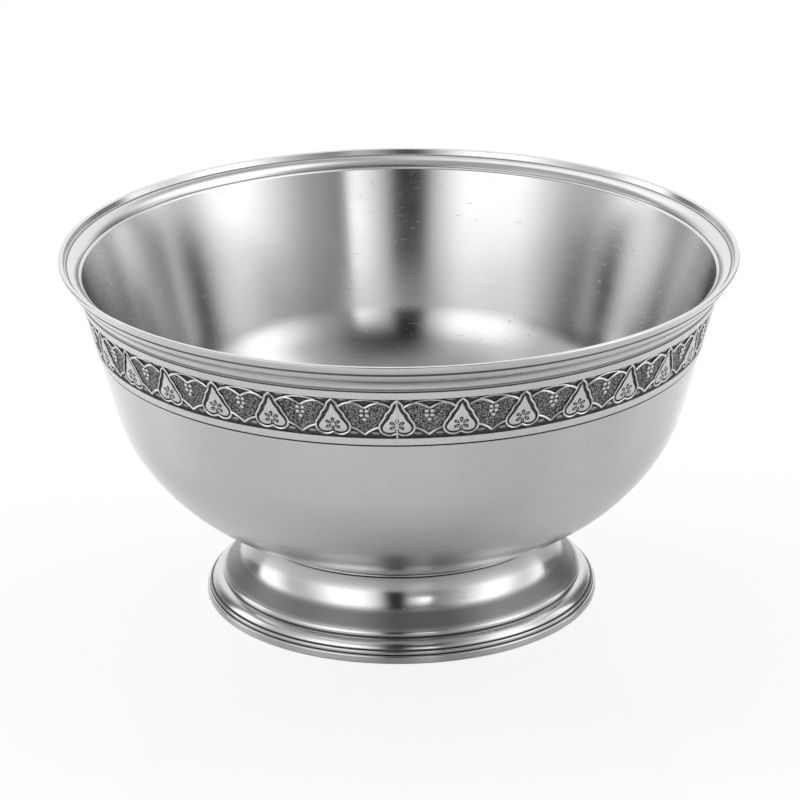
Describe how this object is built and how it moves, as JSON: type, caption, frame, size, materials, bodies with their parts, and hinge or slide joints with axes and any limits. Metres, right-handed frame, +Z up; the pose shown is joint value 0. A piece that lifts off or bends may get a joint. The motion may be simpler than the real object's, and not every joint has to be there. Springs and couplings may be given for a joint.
{
  "type": "footed bowl",
  "caption": "Handle-less pewter porringer or footed bowl: spun bowl with a moulded rim ring, a strip of leaf and berry ornament let into its side, and a flared foot on a stepped base.",
  "frame": {"origin": "on the surface that the bowl stands on, under the middle of the foot", "axes": "+Z up along the bowl's axis of revolution; -Y towards the side with the strip's soldered seam"},
  "size_m": [0.127, 0.127, 0.068],
  "materials": {
    "satin_pewter": "spun pewter, buffed to a satin, with fine rings from the lathe",
    "antique_pewter": "cast pewter, darkened in its ground and rubbed bright on its raised parts"
  },
  "bodies": {
    "root": {"bowl": "satin_pewter", "rim_moulding": "satin_pewter", "ornament_band": "antique_pewter", "foot": "satin_pewter"}
  },
  "joints": []
}
